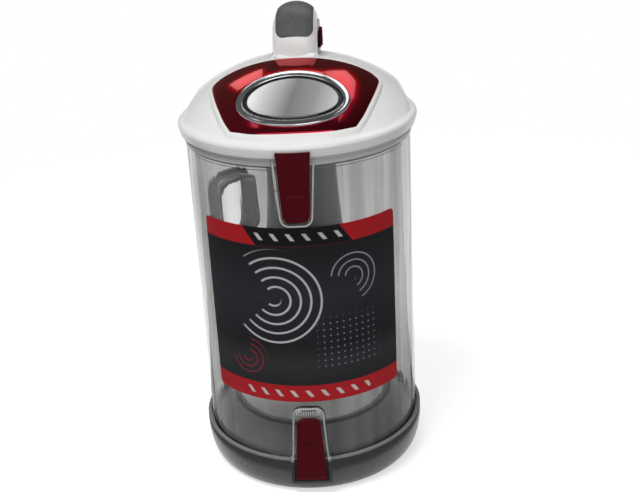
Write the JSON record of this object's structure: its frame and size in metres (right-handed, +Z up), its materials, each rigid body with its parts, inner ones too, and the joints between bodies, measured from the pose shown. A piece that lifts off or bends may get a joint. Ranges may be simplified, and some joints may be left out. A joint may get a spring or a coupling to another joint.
{
  "type": "cyclone dust bin",
  "caption": "Clear cylindrical dust bin of an upright vacuum cleaner, with a hinged domed lid, an arched carrying handle, a hinged emptying door and sprung front latches.",
  "frame": {"origin": "centre of the air outlet under the door, in the plane of the foot that the bin stands on", "axes": "+Z up along the clear cup, -Y towards the latches and the label, +X to the right of someone facing them"},
  "size_m": [0.186, 0.1961, 0.3686],
  "materials": {
    "clear_plastic": "clear, polished, lightly scuffed",
    "dark_plastic": "fine matt moulded",
    "seal_rubber": "matt",
    "screen_steel": "perforated sheet",
    "label_film": "printed film, satin gloss",
    "latch_red": "semi-gloss moulded",
    "pin_steel": "drawn wire and rod",
    "door_grey": "semi-gloss, faint metal flake",
    "plate_grey": "satin",
    "lid_white": "semi-gloss moulded",
    "panel_red": "red metallised, polished",
    "bright_chrome": "polished",
    "gloss_black": "gloss",
    "badge_silver": "brushed",
    "handle_red": "semi-gloss moulded",
    "soft_grip": "soft-touch, matt"
  },
  "bodies": {
    "cup": {"cup_shell": "clear_plastic", "inlet_collar": "dark_plastic", "inlet_seal": "seal_rubber", "outlet_tube": "dark_plastic", "shroud": "dark_plastic", "screen_frame": "dark_plastic", "screen_hub": "dark_plastic", "dust_screen": "screen_steel", "label": "label_film", "lid_latch_pin": "pin_steel", "lid_latch_spring": "pin_steel", "door_latch_pin": "pin_steel", "door_latch_spring": "pin_steel", "door_hinge_pin": "pin_steel", "lid_hinge_pin": "pin_steel"},
    "lid": {"lid_shell": "lid_white", "lid_plug": "lid_white", "lid_seal": "seal_rubber", "trim_panel": "panel_red", "badge_ring": "bright_chrome", "badge_border": "gloss_black", "badge_plate": "badge_silver", "handle_crown": "lid_white", "handle_belly": "handle_red", "grip_pad": "soft_grip", "handle_screws": "pin_steel", "tab_spring_left": "pin_steel", "tab_spring_right": "pin_steel"},
    "door": {"base_door": "door_grey", "door_seal": "seal_rubber", "floor_plate": "plate_grey", "floor_joint_ring": "seal_rubber", "outlet_seal": "seal_rubber"},
    "lid_latch": {"lid_latch": "latch_red"},
    "door_latch": {"door_latch": "latch_red"},
    "tab_left": {"release_tab_left": "latch_red"},
    "tab_right": {"release_tab_right": "latch_red"}
  },
  "joints": [
    {"name": "lid_hinge", "type": "hinge", "parent": "cup", "child": "lid", "pos_m": [0, 0.098, 0.288], "axis": [-1, 0, 0], "range_deg": [0, 95]},
    {"name": "door_hinge", "type": "hinge", "parent": "cup", "child": "door", "pos_m": [0, 0.098, 0.03], "axis": [1, 0, 0], "range_deg": [0, 95]},
    {"name": "lid_latch_rock", "type": "hinge", "parent": "cup", "child": "lid_latch", "pos_m": [0, -0.0911, 0.261], "axis": [1, 0, 0], "range_deg": [0, 5], "stiffness_Nm_per_rad": 0.5, "springref_deg": -11.46, "deforming": ["lid_latch_spring"]},
    {"name": "door_latch_rock", "type": "hinge", "parent": "cup", "child": "door_latch", "pos_m": [0, -0.0911, 0.05], "axis": [-1, 0, 0], "range_deg": [0, 5], "stiffness_Nm_per_rad": 0.5, "springref_deg": -11.46, "deforming": ["door_latch_spring"]},
    {"name": "tab_left_press", "type": "slide", "parent": "lid", "child": "tab_left", "axis": [1, 0, 0], "range_m": [0, 0.0024], "stiffness_N_per_m": 300, "deforming": ["tab_spring_left"]},
    {"name": "tab_right_press", "type": "slide", "parent": "lid", "child": "tab_right", "axis": [-1, 0, 0], "range_m": [0, 0.0024], "stiffness_N_per_m": 300, "deforming": ["tab_spring_right"]}
  ]
}
